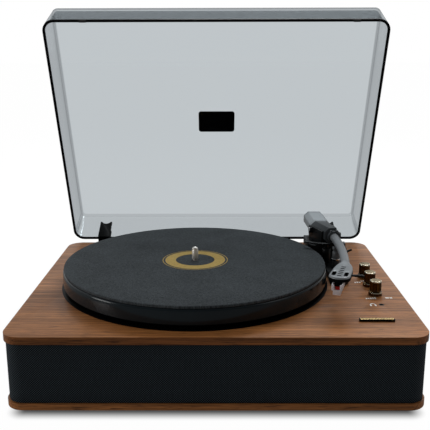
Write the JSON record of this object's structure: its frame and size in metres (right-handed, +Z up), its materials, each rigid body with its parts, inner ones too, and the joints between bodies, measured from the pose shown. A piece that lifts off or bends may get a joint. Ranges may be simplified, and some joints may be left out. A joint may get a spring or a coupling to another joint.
{
  "type": "turntable record player",
  "caption": "Belt-drive record player: walnut plinth with a cloth-covered front, round platter with felt mat, curved tonearm, brass knobs and a hinged smoked dust cover.",
  "frame": {"origin": "on the surface it stands on, under the middle of the bounding box with the dust cover open", "axes": "+X to the right across the front, +Y to the back, +Z up along the spindle"},
  "size_m": [0.4, 0.3768, 0.3863],
  "materials": {
    "walnut": "walnut veneer, satin lacquer, grain along the width",
    "black_board": "fibreboard painted matt black",
    "grille_cloth": "woven speaker cloth, fine plain weave",
    "satin_metal": "satin",
    "rubber": "matt",
    "steel": "zinc plated",
    "brass": "polished brass",
    "knob_brass": "dark brass, polished, lighter caps",
    "speaker_frame": "pressed steel, painted black",
    "speaker_paper": "pressed paper cone with a foam edge",
    "circuit_board": "glass-fibre board with green solder mask",
    "black_plastic": "moulded black plastic, satin",
    "gloss_black": "gloss black",
    "felt": "short slate-grey felt",
    "printed_gold": "printed dull gold",
    "chrome": "bright",
    "arm_grey": "grey paint, satin",
    "housing_black": "moulded dark plastic, satin",
    "weight_grey": "satin grey paint over a metal weight",
    "red_plastic": "gloss",
    "clear_plastic": "clear, slightly frosted",
    "smoked_acrylic": "clear acrylic with a light smoke tint, black rim edge",
    "label_black": "plain gloss black label"
  },
  "bodies": {
    "plinth": {"top_plate": "walnut", "bottom_plate": "walnut", "front_baffle": "black_board", "left_panel": "black_board", "right_panel": "black_board", "back_panel": "black_board", "grille_cloth": "grille_cloth", "feet": "satin_metal", "foot_pads": "rubber", "base_screws": "steel", "badge": "brass", "bearing_housing": "satin_metal", "bearing_bush": "brass", "thrust_ball": "steel", "motor_can": "satin_metal", "motor_plate": "steel", "motor_screws": "steel", "drive_belt": "rubber", "left_speaker": "speaker_frame", "right_speaker": "speaker_frame", "speaker_cones": "speaker_paper", "main_board": "circuit_board", "control_board": "circuit_board", "control_pots": "steel", "headphone_jack": "black_plastic", "dc_inlet": "black_plastic", "line_out_sockets": "brass", "arm_base": "black_plastic", "arm_bush": "brass", "arm_rest": "arm_grey", "cue_tower": "black_plastic", "hinge_bases": "black_plastic", "hinge_pins": "steel", "hinge_screws": "steel"},
    "platter": {"platter": "gloss_black", "platter_mat": "felt", "mat_emblem": "printed_gold", "spindle": "chrome"},
    "motor_rotor": {"motor_shaft": "steel", "motor_pulley": "brass"},
    "arm_yoke": {"arm_yoke": "black_plastic", "bearing_screws": "steel"},
    "arm_wand": {"pivot_housing": "housing_black", "tube_collar": "housing_black", "arm_tube": "arm_grey", "headshell": "arm_grey", "finger_lift": "black_plastic", "cartridge": "black_plastic", "stylus": "red_plastic"},
    "counterweight": {"counterweight": "weight_grey"},
    "stylus_guard": {"stylus_guard": "clear_plastic"},
    "cue_lever": {"cue_lever": "black_plastic"},
    "cue_platform": {"cue_platform": "black_plastic"},
    "volume_knob": {"volume_knob": "knob_brass"},
    "function_knob": {"function_knob": "knob_brass"},
    "speed_knob": {"speed_knob": "knob_brass"},
    "dust_cover": {"cover_shell": "smoked_acrylic", "cover_label": "label_black", "cover_bumpers": "rubber", "hinge_leaves": "black_plastic"}
  },
  "joints": [
    {"name": "platter_spin", "type": "hinge", "parent": "plinth", "child": "platter", "pos_m": [-0.024, -0.02537, 0.095], "axis": [0, 0, -1], "continuous": true},
    {"name": "motor_spin", "type": "hinge", "parent": "plinth", "child": "motor_rotor", "pos_m": [-0.12619, 0.03363, 0.09], "axis": [0, 0, -1], "continuous": true},
    {"name": "arm_swing", "type": "hinge", "parent": "plinth", "child": "arm_yoke", "pos_m": [0.135, 0.05563, 0.1193], "axis": [0, 0, -1], "range_deg": [0, 42]},
    {"name": "arm_lift", "type": "hinge", "parent": "arm_yoke", "child": "arm_wand", "pos_m": [0.135, 0.05563, 0.1193], "axis": [-1, 0, 0], "range_deg": [0, 2.2]},
    {"name": "counterweight_slide", "type": "slide", "parent": "arm_wand", "child": "counterweight", "axis": [-0.0332, 0.9995, 0], "range_m": [0, 0.004]},
    {"name": "guard_slide", "type": "slide", "parent": "arm_wand", "child": "stylus_guard", "axis": [-0.3156, -0.9489, 0], "range_m": [0, 0.012]},
    {"name": "cue_lever_turn", "type": "hinge", "parent": "plinth", "child": "cue_lever", "pos_m": [0.152, 0.03763, 0.097], "axis": [-1, 0, 0], "range_deg": [0, 60]},
    {"name": "cue_lift", "type": "slide", "parent": "plinth", "child": "cue_platform", "axis": [0, 0, 1], "range_m": [0, 0.0019]},
    {"name": "volume_turn", "type": "hinge", "parent": "plinth", "child": "volume_knob", "pos_m": [0.171, -0.07477, 0.09], "axis": [0, 0, -1], "range_deg": [0, 280]},
    {"name": "function_turn", "type": "hinge", "parent": "plinth", "child": "function_knob", "pos_m": [0.171, -0.04557, 0.09], "axis": [0, 0, -1], "range_deg": [0, 60]},
    {"name": "speed_turn", "type": "hinge", "parent": "plinth", "child": "speed_knob", "pos_m": [0.171, -0.01637, 0.09], "axis": [0, 0, -1], "range_deg": [0, 60]},
    {"name": "cover_hinge", "type": "hinge", "parent": "plinth", "child": "dust_cover", "pos_m": [0, 0.13697, 0.07334], "axis": [-1, 0, 0], "range_deg": [-67.6, 0]}
  ],
  "couplings": [
    {"joint": "motor_spin", "follows": "platter_spin", "ratio": 21.111},
    {"joint": "cue_lever_turn", "follows": "arm_lift", "ratio": 27.2},
    {"joint": "cue_lift", "follows": "arm_lift", "m_per_rad": 0.0491}
  ]
}
